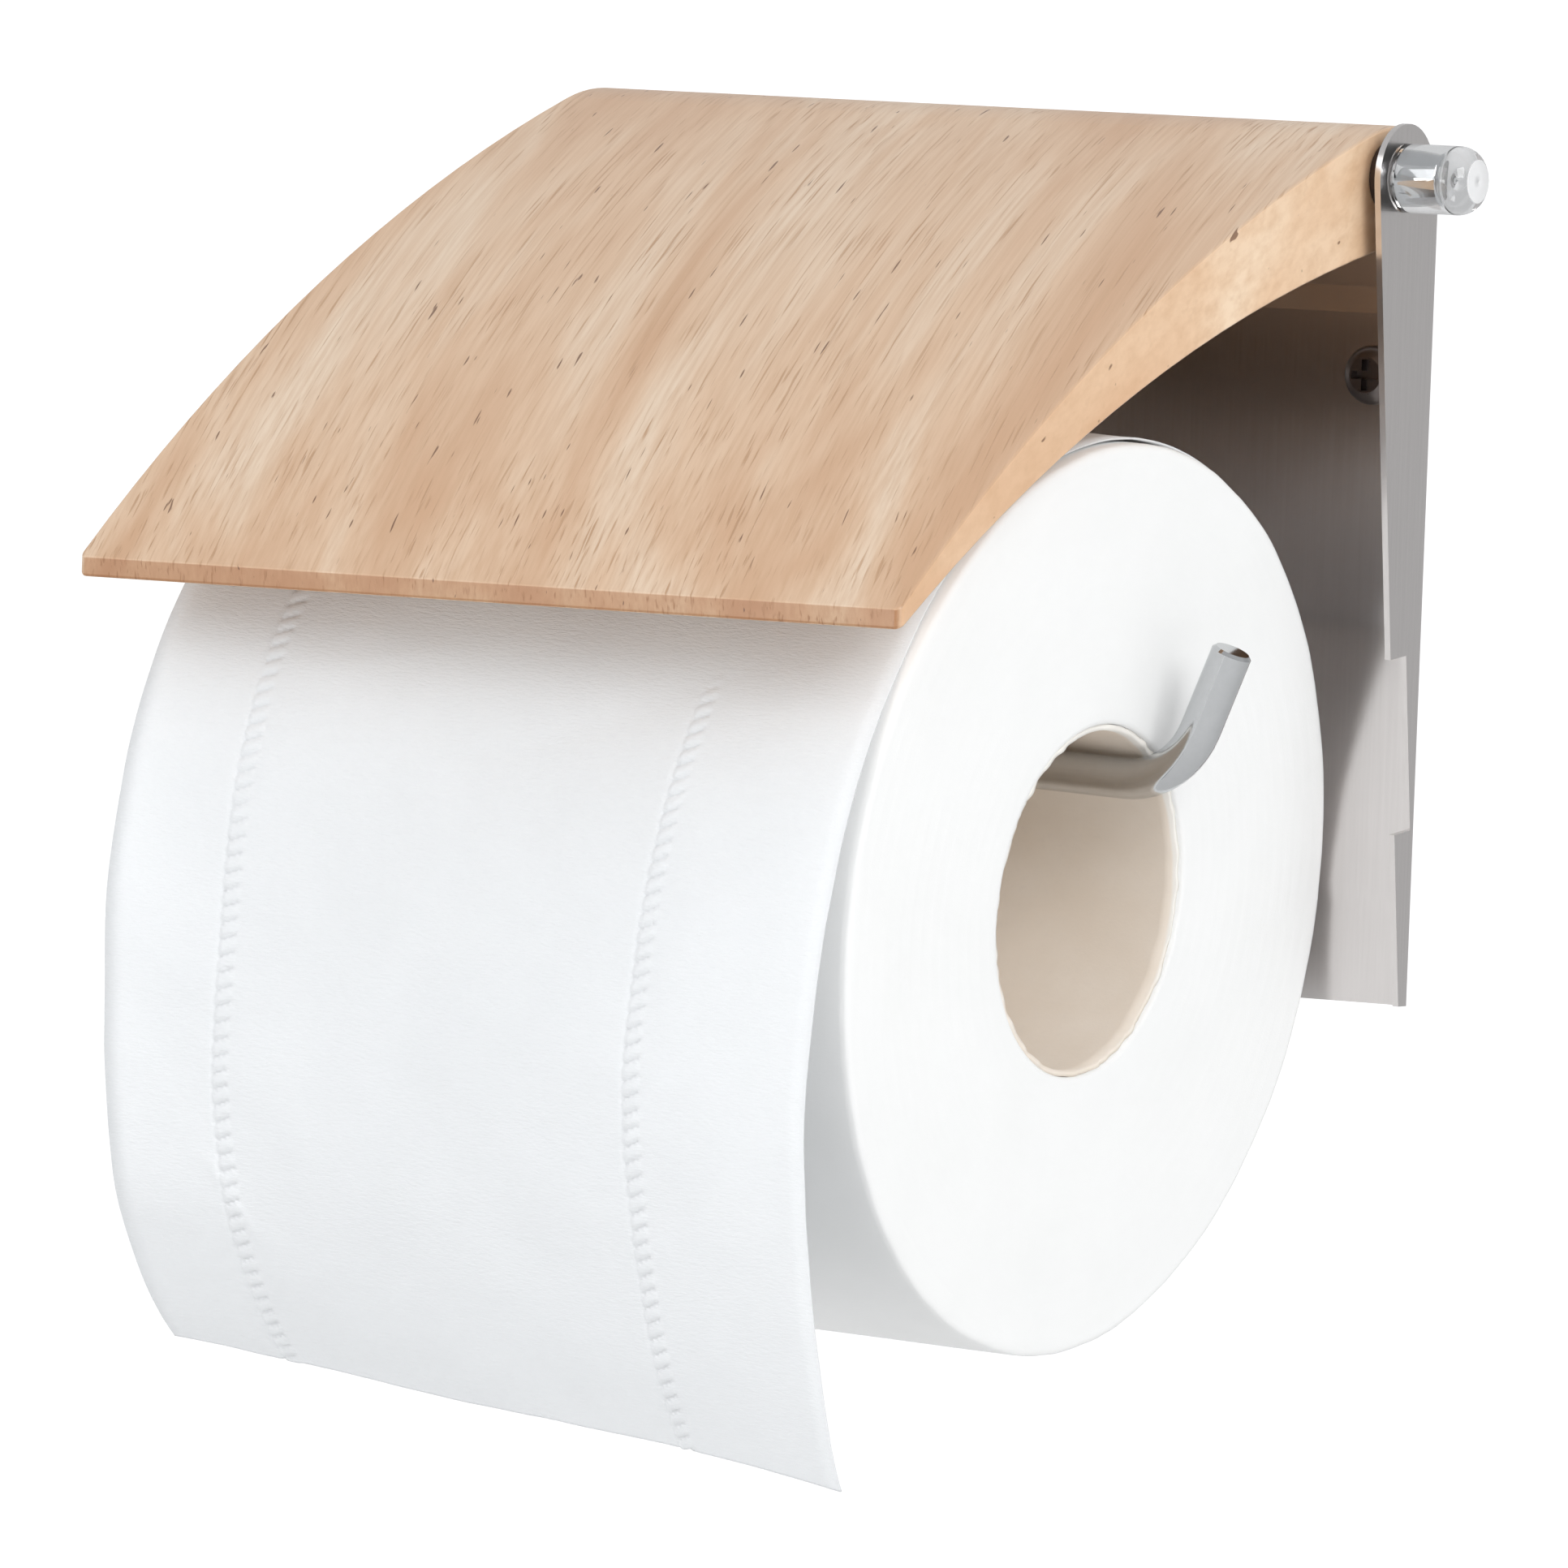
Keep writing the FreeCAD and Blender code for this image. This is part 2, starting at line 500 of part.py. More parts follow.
# ---- wall screws --------------------------------------------------------------------------------
def make_screw(label, across):
    """A pan-head screw along Y, its head on the front of the panel and its point in the wall."""
    under = "places.panel_front"
    crest = "sizes.screw_shank / 2"
    root = "sizes.screw_root / 2"
    neck = "sizes.screw_neck / 2"
    tip = "(places.panel_front + sizes.screw_length)"
    corners = [("0", under + " - sizes.head_height"),
               ("sizes.head_crown / 2", under + " - sizes.head_height"),
               ("sizes.screw_head / 2", under + " - sizes.head_rim"),
               ("sizes.screw_head / 2", under), (neck, under),
               (crest, under + " + sizes.neck_length"),
               (crest, under + " + sizes.shank_length")]
    threaded = sizes.screw_length - sizes.shank_length - sizes.screw_point
    for turn in range(int(threaded / sizes.screw_pitch)):
        foot = "places.panel_front + sizes.shank_length + (%d + %%s) * sizes.screw_pitch" % turn
        corners.append((root, foot % "sizes.flank_start"))
        corners.append((crest, foot % "sizes.flank_top"))
        corners.append((root, foot % "sizes.flank_end"))
    corners.append((root, tip + " - sizes.screw_point"))
    corners.append(("0", tip))
    body = turned(label, corners, {1: "sizes.head_height"}, axis="V_Axis")
    cross = new_sketch(body, label + "_cross", "XZ_Plane")
    wide = "sizes.recess_width / 2"
    long = "sizes.recess_span / 2"
    outline(cross, [(wide, wide), (wide, long), ("-" + wide, long), ("-" + wide, wide),
                    ("-" + long, wide), ("-" + long, "-" + wide), ("-" + wide, "-" + wide),
                    ("-" + wide, "-" + long), (wide, "-" + long), (wide, "-" + wide),
                    (long, "-" + wide), (long, wide)])
    cross.setExpression("AttachmentOffset.Base.z", "-(%s - sizes.head_height)" % under)
    recess = body.newObject("PartDesign::Pocket", label + "_recess")
    recess.Profile = cross
    recess.setExpression("Length", "sizes.recess_depth")
    before = body.Shape.Volume
    doc.recompute()
    if body.Shape.Volume >= before:
        raise RuntimeError("the cross recess cuts nothing")
    put(body, across, "0", "0")


# ---- roll ---------------------------------------------------------------------------------------
def make_roll():
    """The cardboard core and the wound tissue, on one axis that droops to the right."""
    half = "(sizes.roll_length / 2)"
    short = "(sizes.roll_length / 2 - sizes.core_short)"
    bore = "sizes.core_bore / 2"
    glue = "sizes.core_bore / 2 + sizes.core_wall"
    core = turned("roll_core", [("-" + short, bore), (short, bore), (short, glue), ("-" + short, glue)])
    paper = turned("paper_roll", [("-" + half, glue), (half, glue), (half, "places.roll_radius"),
                                  ("-" + half, "places.roll_radius")])
    for body in (core, paper):
        put(body, "sizes.roll_shift", "places.roll_y", "places.roll_z",
            FreeCAD.Vector(0, 1, 0), "sizes.droop")


def roll_frame():
    """Placement whose X is the roll's axis and whose origin is the middle of the roll."""
    middle = FreeCAD.Vector(sizes.roll_shift, places.roll_y, places.roll_z)
    return FreeCAD.Placement(middle, FreeCAD.Rotation(FreeCAD.Vector(0, 1, 0), sizes.droop))


# ---- loose sheet --------------------------------------------------------------------------------
def make_loose_sheet():
    """The loose outer turn: round the back and top of the roll, then free down the front. Each
    stretch is an arc that leaves the one before it in line; the outline is its two faces."""
    thick = sizes.tail_sheet
    turn_radius = places.roll_radius + sizes.tail_gap
    over = 90.0 + sizes.tail_back - sizes.tail_off
    stretches = [(turn_radius, over), (sizes.tail_upper, sizes.tail_off),
                 (sizes.tail_lower, sizes.tail_turn)]
    angle = 90.0 - sizes.tail_back
    centre = FreeCAD.Vector(0, 0, 0)
    last_radius = turn_radius
    outer = []
    inner = []
    for radius, sweep in stretches:
        spoke = FreeCAD.Vector(0, math.cos(math.radians(angle)), math.sin(math.radians(angle)))
        centre = centre + spoke * (last_radius - radius)
        for edges, reach in ((outer, radius + thick), (inner, radius)):
            points = []
            for part in (0, 0.5, 1):
                turn = math.radians(angle + sweep * part)
                points.append(centre + FreeCAD.Vector(0, math.cos(turn), math.sin(turn)) * reach)
            edges.append(Part.Arc(*points).toShape())
        angle += sweep
        last_radius = radius
    start = Part.LineSegment(inner[0].Vertexes[0].Point, outer[0].Vertexes[0].Point).toShape()
    end = Part.LineSegment(outer[-1].Vertexes[-1].Point, inner[-1].Vertexes[-1].Point).toShape()
    wire = Part.Wire(Part.__sortEdges__([start] + outer + [end] + inner))
    length = float(sizes.roll_length)
    wire.translate(FreeCAD.Vector(-length / 2, 0, 0))
    sheet = doc.addObject("Part::Feature", "loose_sheet")
    sheet.Label = "loose_sheet"
    sheet.Shape = Part.Face(wire).extrude(FreeCAD.Vector(length, 0, 0))
    sheet.Placement = roll_frame()
    return sheet


# ---- arm ----------------------------------------------------------------------------------------
def rounded_path(points, radii):
    """Straight runs joined by tangent arcs, one radius for each inner point."""
    edges = []
    start = points[0]
    for before, corner, after, radius in zip(points, points[1:], points[2:], radii):
        back = (before - corner).normalize()
        ahead = (after - corner).normalize()
        half_angle = back.getAngle(ahead) / 2
        setback = radius / math.tan(half_angle)
        first = corner + back * setback
        last = corner + ahead * setback
        bisector = (back + ahead).normalize()
        middle = corner + bisector * (radius / math.sin(half_angle) - radius)
        edges.append(Part.LineSegment(start, first).toShape())
        edges.append(Part.Arc(first, middle, last).toShape())
        start = last
    edges.append(Part.LineSegment(start, points[-1]).toShape())
    return Part.Wire(edges)


def make_roll_arm():
    lean = math.radians(sizes.ear_taper)
    up_seat = FreeCAD.Vector(0, -math.sin(lean), math.cos(lean))
    seat_top = FreeCAD.Vector(places.arm_side, places.seat_top_y, places.seat_top_z)
    seat_end = seat_top - up_seat * sizes.arm_seat
    elbow = FreeCAD.Vector(places.arm_side, places.arm_y, places.elbow_z)
    frame = roll_frame()
    corner = frame.multVec(FreeCAD.Vector(sizes.roll_length / 2 + sizes.arm_past, places.arm_back,
                                          places.arm_over))
    tip_lean = math.radians(sizes.tip_lean)
    tip = corner + FreeCAD.Vector(math.sin(tip_lean), 0, math.cos(tip_lean)) * sizes.tip_length
    path = rounded_path([seat_end, seat_top, elbow, corner, tip],
                        [sizes.seat_bend, sizes.elbow_bend, sizes.tip_bend])
    section = Part.Wire(Part.Circle(seat_end, up_seat, sizes.wire / 2).toShape())
    shape = Part.Wire(path.Edges).makePipeShell([section], True, True)
    rim = [edge for edge in shape.Edges
           if edge.Closed and (edge.BoundBox.Center - tip).Length < 1e-3]
    shape = shape.makeChamfer(sizes.tip_chamfer, rim)
    arm = doc.addObject("Part::Feature", "roll_arm")
    arm.Label = "roll_arm"
    arm.Shape = shape
    arm.Placement = FreeCAD.Placement()
    section_area = math.pi * (sizes.wire / 2) ** 2
    print("arm volume %.1f, section times length %.1f" % (shape.Volume, section_area * path.Length))
    return arm


def make_arm_weld(arm, plate):
    """A bead down each side of the left ear, where the seat leg lies against the notch."""
    lean = math.radians(sizes.ear_taper)
    up_seat = FreeCAD.Vector(0, -math.sin(lean), math.cos(lean))
    to_ear = FreeCAD.Vector(0, math.cos(lean), math.sin(lean))
    seat_top = FreeCAD.Vector(places.arm_side, places.seat_top_y, places.seat_top_z)
    start = seat_top - up_seat * (sizes.arm_seat - sizes.weld_start) + to_ear * (sizes.wire / 2)
    beads = []
    for side in (-1, 1):
        foot = start + FreeCAD.Vector(side * (sizes.plate_sheet / 2 + sizes.weld_out), 0, 0)
        rod = Part.makeCylinder(sizes.weld_size, sizes.weld_length, foot, up_seat)
        bead = rod.cut(arm.Shape).cut(plate.Shape)
        beads.append(max(bead.Solids, key=lambda solid: solid.Volume))
    weld = doc.addObject("Part::Feature", "arm_weld")
    weld.Label = "arm_weld"
    weld.Shape = Part.makeCompound(beads)
    weld.Placement = FreeCAD.Placement()
    return weld


# ---- build --------------------------------------------------------------------------------------
back_plate = make_back_plate()
make_lid()
make_hinge()
make_screw("wall_screw_right", "sizes.screw_spacing / 2")
make_screw("wall_screw_left", "-sizes.screw_spacing / 2")
make_roll()
make_loose_sheet()
roll_arm = make_roll_arm()
make_arm_weld(roll_arm, back_plate)
doc.recompute()

# ---- check and write ----------------------------------------------------------------------------
for item in doc.Objects:
    if "Invalid" in item.State or "Error" in item.State:
        raise RuntimeError(item.Name + " failed: " + str(item.State))
pieces = [item for item in doc.Objects
          if item.isDerivedFrom("PartDesign::Body") or item.TypeId == "Part::Feature"]
for piece in pieces:
    if piece.Shape.isNull() or not piece.Shape.isValid():
        raise RuntimeError(piece.Label + " is not a valid shape")
os.makedirs("parts", exist_ok=True)
for piece in pieces:
    piece.Shape.exportStep("parts/%s.step" % piece.Label)
    box = piece.Shape.optimalBoundingBox(False)
    print("%-18s solids %d  volume %9.1f  x %7.2f..%7.2f  y %7.2f..%7.2f  z %7.2f..%7.2f" % (
        piece.Label, len(piece.Shape.Solids), piece.Shape.Volume,
        box.XMin, box.XMax, box.YMin, box.YMax, box.ZMin, box.ZMax))
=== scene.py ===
# %% [markdown]
# # A wall holder for a toilet roll, with a wooden lid
#
# The holder is a bent stainless plate with two ears, a curved board that swings on a rod between
# the ears, and a bright wire arm that the roll slides on to. The metal pieces, the screws and the
# board come ready-made from the CAD model, so here they only need a finish. The soft or clear
# things - the wound tissue, its cardboard core, the loose outer sheet and the clear cap on the
# rod - are modelled again, because what makes them look real is in their shape: ragged rims,
# pressed lines, a sheet that curls away from the roll.

import math

import bmesh
import bpy
import numpy as np
from mathutils import Matrix, Vector, noise


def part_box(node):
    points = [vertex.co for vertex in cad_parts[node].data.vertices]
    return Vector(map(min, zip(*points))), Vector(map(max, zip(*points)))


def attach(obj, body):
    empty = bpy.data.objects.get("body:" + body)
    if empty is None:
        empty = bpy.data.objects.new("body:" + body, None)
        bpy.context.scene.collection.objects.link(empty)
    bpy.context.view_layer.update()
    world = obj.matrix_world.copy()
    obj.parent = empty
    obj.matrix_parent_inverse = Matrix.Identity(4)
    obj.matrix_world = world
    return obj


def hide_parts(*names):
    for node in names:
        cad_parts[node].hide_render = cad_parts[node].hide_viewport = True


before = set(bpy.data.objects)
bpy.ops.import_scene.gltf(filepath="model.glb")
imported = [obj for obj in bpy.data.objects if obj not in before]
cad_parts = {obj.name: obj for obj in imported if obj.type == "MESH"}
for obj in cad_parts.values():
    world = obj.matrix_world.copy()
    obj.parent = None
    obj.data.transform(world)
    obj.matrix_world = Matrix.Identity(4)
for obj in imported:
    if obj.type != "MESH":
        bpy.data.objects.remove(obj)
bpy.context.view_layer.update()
MM = 0.001
print("nodes:", ", ".join(sorted(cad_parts)))

# %% [markdown]
# ## Where we stand
#
# The camera is far away and has a long lens, so that the holder's upright edges stay nearly
# parallel. It stands to the right of the holder and a little above it, and is turned about two
# degrees off level. We build its three axes from those angles. A camera in Blender looks along its
# own -Z, so the axis that points back from the holder to the camera is its Z.

# %% Camera
AZIMUTH = math.radians(31.575)
ELEVATION = math.radians(3.127)
CAMERA_ROLL = math.radians(2.158)
AIM = Vector((6.87, -60.5, -51.07)) * MM
DISTANCE = 2201.2 * MM

backward = Vector((math.sin(AZIMUTH) * math.cos(ELEVATION),
                   -math.cos(AZIMUTH) * math.cos(ELEVATION),
                   math.sin(ELEVATION)))
level = Vector((math.cos(AZIMUTH), math.sin(AZIMUTH), 0))
upright = backward.cross(level)
camera_x = level * math.cos(CAMERA_ROLL) + upright * math.sin(CAMERA_ROLL)
camera_y = upright * math.cos(CAMERA_ROLL) - level * math.sin(CAMERA_ROLL)

camera = bpy.data.objects.new("camera", bpy.data.cameras.new("camera"))
camera.data.lens = 419.7
camera.data.sensor_width = 36
camera.data.clip_end = 200
turn = Matrix((camera_x, camera_y, backward)).transposed().to_4x4()
camera.matrix_world = Matrix.Translation(AIM + backward * DISTANCE) @ turn
bpy.context.collection.objects.link(camera)
bpy.context.scene.camera = camera
print("camera at", [round(v, 3) for v in camera.matrix_world.translation])

# %% [markdown]
# ## Small tools for finishes
#
# Every finish below is a Principled shader fed by a few texture nodes. Two helpers keep those
# cells short: one adds a node and sets its sockets, the other makes a colour ramp. All textures
# read object coordinates, so their sizes are real sizes: a scale of 1000 is one cell a millimetre.

# %% Node helpers
class Finish:
    """A new material and short ways to fill it."""

    def __init__(self, name):
        self.material = bpy.data.materials.new(name)
        self.material.use_nodes = True
        self.nodes = self.material.node_tree.nodes
        self.links = self.material.node_tree.links
        self.shader = self.nodes["Principled BSDF"]
        self.place = self.add("TexCoord").outputs["Object"]

    def add(self, kind, sockets=None, **settings):
        node = self.nodes.new("ShaderNode" + kind)
        for key, value in settings.items():
            setattr(node, key, value)
        self.feed(node, sockets or {})
        return node

    def feed(self, node, sockets):
        """Set or link sockets by name or number."""
        for key, value in sockets.items():
            if isinstance(value, bpy.types.NodeSocket):
                self.links.new(value, node.inputs[key])
            else:
                node.inputs[key].default_value = value

    def stretch(self, across, along, through, turn=(0, 0, 0)):
        """Object coordinates, turned and then scaled to cells per metre."""
        turned = self.add("Mapping", {"Vector": self.place, "Rotation": turn})
        scaled = self.add("Mapping", {"Vector": turned.outputs[0], "Scale": (across, along, through)})
        return scaled.outputs[0]

    def noise(self, where, scale=1.0, detail=2.0, rough=0.5, distortion=0.0):
        node = self.add("TexNoise", {"Vector": where, "Scale": scale, "Detail": detail,
                                     "Roughness": rough, "Distortion": distortion})
        return node.outputs["Fac"]

    def ramp(self, value, *stops):
        """A colour ramp; each stop is a position and a grey level or a colour."""
        node = self.add("ValToRGB", {"Fac": value})
        elements = node.color_ramp.elements
        while len(elements) < len(stops):
            elements.new(0.5)
        for element, (position, colour) in zip(elements, stops):
            element.position = position
            if not hasattr(colour, "__len__"):
                colour = (colour, colour, colour)
            element.color = (*colour, 1)
        return node.outputs["Color"]

    def mix(self, amount, first, second, blend="MIX"):
        node = self.add("Mix", data_type="RGBA", blend_type=blend)
        for number, value in ((0, amount), (6, first), (7, second)):
            if isinstance(value, tuple):
                value = (*value, 1)
            self.feed(node, {number: value})
        return node.outputs[2]

    def maths(self, operation, *values):
        node = self.add("Math", dict(enumerate(values)), operation=operation)
        return node.outputs[0]

    def span(self, value, low, high, out_low=0.0, out_high=1.0):
        node = self.add("MapRange", {0: value, 1: low, 2: high, 3: out_low, 4: out_high})
        return node.outputs[0]

    def bump(self, height, depth, strength=1.0):
        """Relief: depth is in metres for a height of 1."""
        node = self.add("Bump", {"Height": height, "Distance": depth, "Strength": strength})
        if self.shader.inputs["Normal"].links:
            self.feed(node, {"Normal": self.shader.inputs["Normal"].links[0].from_socket})
        self.feed(self.shader, {"Normal": node.outputs[0]})


def dress(node, finish):
    """Give one of the CAD model's own pieces a finish."""
    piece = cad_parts[node]
    piece.data.materials.clear()
    piece.data.materials.append(finish.material)


# %% [markdown]
# ## Wood
#
# The lid is sawn from a pale, straight-grained hardwood and lacquered. Three things make it wood:
# broad soft bands from the yearly growth, fine fibres, and the vessels - tiny tubes that show as
# short brown dashes where the curved face cuts them. They all run the same way through the solid
# board, so we use 3-D textures stretched along one line, front to back and a little askew, and the
# curve cuts them as a plane would: long dashes where the face follows the grain, dots on the end.
# The sawn front edge is darker. The two side faces have fewer marks, and their lighter colour is
# painted light, standing in for the soft box on the right.

# %% Wood finish
GRAIN_RISE = math.radians(24.7)
GRAIN_SKEW = math.radians(11)
GRAIN_TURN = (-GRAIN_RISE, 0, -GRAIN_SKEW)
grain_line = Matrix.Rotation(GRAIN_RISE, 3, "X") @ Matrix.Rotation(GRAIN_SKEW, 3, "Z")
grain_line = tuple(grain_line @ Vector((0, 1, 0)))

wood = Finish("lacquered_wood")
bands = wood.noise(wood.stretch(70, 9, 60, GRAIN_TURN), detail=3, distortion=0.5)
fibres = wood.noise(wood.stretch(1500, 28, 600, GRAIN_TURN), detail=4, rough=0.6)
vessels = wood.noise(wood.stretch(2700, 60, 750, GRAIN_TURN), detail=1.0)
clusters = wood.noise(wood.stretch(120, 30, 120, GRAIN_TURN), detail=2)
flecks = wood.noise(wood.stretch(2100, 150, 800, GRAIN_TURN), detail=0.5)

colour = wood.ramp(bands, (0.34, (0.62, 0.385, 0.235)), (0.50, (0.72, 0.51, 0.35)),
                   (0.66, (0.79, 0.63, 0.48)))
colour = wood.mix(wood.span(fibres, 0.38, 0.72, 0.0, 0.55), colour, (0.56, 0.345, 0.20))
dashes = wood.maths("MULTIPLY", wood.span(vessels, 0.60, 0.72), wood.span(clusters, 0.35, 0.6, 0.3, 0.85))
normal = wood.add("TexCoord").outputs["Normal"]
sideways = wood.maths("ABSOLUTE", wood.add("SeparateXYZ", {0: normal}).outputs["X"])
# Mask of the two side faces: fewer vessel marks there, and below they are painted lighter.
side_face_plain_painted_lighter = wood.span(sideways, 0.8, 0.97)
dashes = wood.maths("MULTIPLY", dashes, wood.span(side_face_plain_painted_lighter, 0, 1, 1.0, 0.2))
colour = wood.mix(dashes, colour, (0.47, 0.275, 0.15))
dark_marks = wood.span(flecks, 0.77, 0.81, 0.0, 0.85)
colour = wood.mix(dark_marks, colour, (0.15, 0.065, 0.03))
facing = wood.add("VectorMath", {0: normal, 1: grain_line}, operation="DOT_PRODUCT").outputs["Value"]
end_grain = wood.span(wood.maths("ABSOLUTE", facing), 0.72, 0.93)
colour = wood.mix(end_grain, colour, wood.mix(1.0, colour, (0.62, 0.45, 0.31), "MULTIPLY"))
# Painted light: both side faces are made about a fifth lighter, standing in for the soft box on the right.
colour = wood.mix(side_face_plain_painted_lighter, colour, wood.mix(1.0, colour, (1.2, 1.2, 1.16), "MULTIPLY"))
wood.feed(wood.shader, {"Base Color": colour, "Roughness": wood.span(bands, 0.2, 0.8, 0.38, 0.5),
                        "Coat Weight": 0.25, "Coat Roughness": 0.22})
wood.bump(fibres, 0.00003, 0.4)
wood.bump(wood.maths("SUBTRACT", 1.0, dashes), 0.00006, 0.6)
dress("lid", wood)
print("grain runs along", [round(v, 2) for v in grain_line])

# %% [markdown]
# ## Metals
#
# The plate is thin stainless sheet with a soft, nearly mirror-like finish: it repeats the brown of
# the lid and the white of the roll as blurred patches. Fine upright brushing and a slowly changing
# roughness break those reflections up. The rod and the arm are chrome plated and almost perfectly
# smooth, in a grey a little darker than real chrome so that they stand out from the white roll. The
# screws are blackened.

# %% Metal finishes
def metal(name, colour, rough, spread, brush=(2500, 2500, 60), depth=0.000004):
    finish = Finish(name)
    lines = finish.noise(finish.stretch(*brush), detail=3, rough=0.6)
    patches = finish.noise(finish.place, scale=45, detail=3)
    tint = finish.mix(finish.span(lines, 0.3, 0.7, 0.0, 0.5), colour, tuple(0.92 * c for c in colour))
    both = finish.maths("ADD", finish.maths("MULTIPLY", lines, 0.6),
                        finish.maths("MULTIPLY", patches, 0.4))
    roughness = finish.span(both, 0.3, 0.7, rough - spread, rough + spread)
    finish.feed(finish.shader, {"Base Color": tint, "Metallic": 1.0, "Roughness": roughness})
    finish.bump(lines, depth, 0.5)
    return finish


steel = metal("stainless_sheet", (0.72, 0.69, 0.68), 0.22, 0.04, depth=0.000002)
chrome = metal("bright_chrome", (0.56, 0.57, 0.58), 0.07, 0.02, brush=(900, 900, 900), depth=0.000001)
blackened = metal("blackened_steel", (0.19, 0.165, 0.155), 0.34, 0.08, brush=(1800, 1800, 1800),
                  depth=0.00002)
weld = metal("weld_bead", (0.42, 0.40, 0.38), 0.42, 0.1, brush=(900, 900, 1500), depth=0.00015)
for node, finish in (("back_plate", steel), ("hinge_rod", chrome), ("roll_arm", chrome),
                     ("arm_weld", weld), ("wall_screw_left", blackened), ("wall_screw_right", blackened)):
    dress(node, finish)

# %% [markdown]
# ## Dark washers
#
# Between each end of the board and its ear sits a dark brown rubbery washer that keeps the wood
# off the steel. Its moulded face is dull, with a faint mottle.

# %% Washer finish
washer = Finish("dark_rubber")
mottle = washer.noise(washer.place, scale=1400, detail=3)
washer.feed(washer.shader, {"Base Color": washer.ramp(mottle, (0.3, (0.035, 0.018, 0.012)),
                                                      (0.7, (0.075, 0.038, 0.024))),
                            "Roughness": washer.span(mottle, 0.3, 0.7, 0.55, 0.75)})
washer.bump(mottle, 0.00002, 0.5)
for side in ("left", "right"):
    dress("lid_washer_" + side, washer)

# %% [markdown]
# ## A tool for turned shapes
#
# The clear cap, the cardboard core and the wound tissue are all round, so one helper turns a
# profile about an axis. The profile is a closed list of (along, radius) pairs. A small function
# may then move each point, which is how the rims become ragged and the roll loses its perfect
# roundness without any extra geometry.

# %% Lathe helper
def lathe(name, profile, steps, place, nudge=None):
    """Turn a closed profile about the local X axis and put it at a place."""
    body = bmesh.new()
    rings = []
    for step in range(steps):
        angle = 2 * math.pi * step / steps
        ring = []
        for number, (along, radius) in enumerate(profile):
            if nudge:
                along, radius = nudge(number, along, radius, angle)
            point = Vector((along, radius * math.cos(angle), radius * math.sin(angle))) * MM
            ring.append(body.verts.new(place @ point))
        rings.append(ring)
    for step in range(steps):
        ring, after = rings[step], rings[(step + 1) % steps]
        for number in range(len(profile)):
            following = (number + 1) % len(profile)
            body.faces.new((ring[number], ring[following], after[following], after[number]))
    bmesh.ops.recalc_face_normals(body, faces=body.faces)
    for face in body.faces:
        face.smooth = True
    mesh = bpy.data.meshes.new(name)
    body.to_mesh(mesh)
    body.free()
    piece = bpy.data.objects.new(name, mesh)
    bpy.context.collection.objects.link(piece)
    return piece


def arc_points(centre, radius, start, end, count):
    """Points on an arc in the profile's own plane; angles in degrees from the along axis."""
    points = []
    for step in range(count):
        angle = math.radians(start + (end - start) * step / (count - 1))
        points.append((centre[0] + radius * math.cos(angle), centre[1] + radius * math.sin(angle)))
    return points


# %% [markdown]
# ## Clear cap
#
# A clear plastic cap is pushed over the right end of the rod, and the bright rod shows through it.
# Real clear plastic only looks right when it has a wall with two faces, so the cap is a cup: an
# outer skin with a round shoulder, a bore for the rod, and a hollow past the rod's end. Where the
# cap was cut from its moulding, the flat end is frosted white.

# %% Clear cap
CAP_RADIUS = 4.2
CAP_BORE = 3.06
CAP_LENGTH = 9.8
CAP_FACE = 2.5
DOME_MIDDLE = (7.096, 1.201)
DOME_RADIUS = 3.0
HOLLOW_END = 6.7

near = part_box("rod_cap")[0][0]
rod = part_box("hinge_rod")
rod_y = (rod[0][1] + rod[1][1]) / 2
rod_z = (rod[0][2] + rod[1][2]) / 2

clear = Finish("clear_plastic")
distance_out = clear.add("SeparateXYZ", {0: clear.place}).outputs["X"]
cut_face = near + CAP_LENGTH * MM
frost = clear.span(distance_out, cut_face - 0.12 * MM, cut_face - 0.04 * MM)
haze = clear.noise(clear.place, scale=900, detail=3)
clear.feed(clear.shader, {"Base Color": (0.97, 0.975, 0.98, 1), "IOR": 1.49,
                          "Roughness": clear.maths("ADD", clear.span(frost, 0, 1, 0.0, 0.4),
                                                   clear.span(haze, 0.5, 0.8, 0.0, 0.02)),
                          "Transmission Weight": clear.span(frost, 0, 1, 1.0, 0.25)})
clear.bump(haze, 0.000001, 0.3)

profile = [(0.15, CAP_BORE), (0.02, CAP_BORE + 0.15), (0.0, CAP_BORE + 0.3), (0.0, CAP_RADIUS - 0.3),
           (0.02, CAP_RADIUS - 0.12), (0.15, CAP_RADIUS), (0.4, CAP_RADIUS)]
profile += [(along, CAP_RADIUS) for along in (2.0, 4.5, 6.6)]
profile += arc_points(DOME_MIDDLE, DOME_RADIUS, 88.0, 25.7, 16)
profile += [(CAP_LENGTH, radius) for radius in (CAP_FACE - 0.1, CAP_FACE - 0.3, 1.2, 0.001)]
profile += [(HOLLOW_END, 0.001), (HOLLOW_END, 1.2), (6.66, 2.0), (6.5, 2.6), (6.25, 2.95)]
profile += [(5.95, CAP_BORE), (5.5, CAP_BORE)]
cap = lathe("clear_cap", profile, 144, Matrix.Translation((near, rod_y, rod_z)))
cap.data.materials.append(clear.material)
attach(cap, "root")
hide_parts("rod_cap")
print(cap.name, "has", len(cap.data.polygons), "faces")
